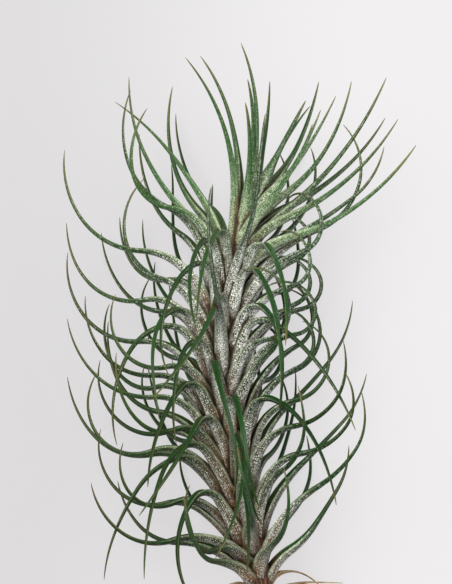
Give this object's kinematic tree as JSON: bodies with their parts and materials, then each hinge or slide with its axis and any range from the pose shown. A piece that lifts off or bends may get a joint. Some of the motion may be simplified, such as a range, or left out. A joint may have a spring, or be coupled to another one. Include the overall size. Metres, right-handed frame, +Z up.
{
  "type": "tillandsia funckiana",
  "caption": "Air plant cut from its clump and lying on its side: a leafy stem of thin curling scaly leaves, with a withered cut base.",
  "frame": {"origin": "centre of the plant's box, on the floor that it lies on", "axes": "+Y from the cut end to the growing tip, +Z up from the floor, +X to the right seen from above with the tip away"},
  "size_m": [0.0734, 0.1306, 0.0572],
  "materials": {
    "living_leaf": "green leaf under a grey bloom of fine scales, matt",
    "dried_leaf": "dried straw-brown leaf and stem, matt"
  },
  "bodies": {
    "root": {"leafy_stem": "living_leaf", "withered_base": "dried_leaf"}
  },
  "joints": []
}
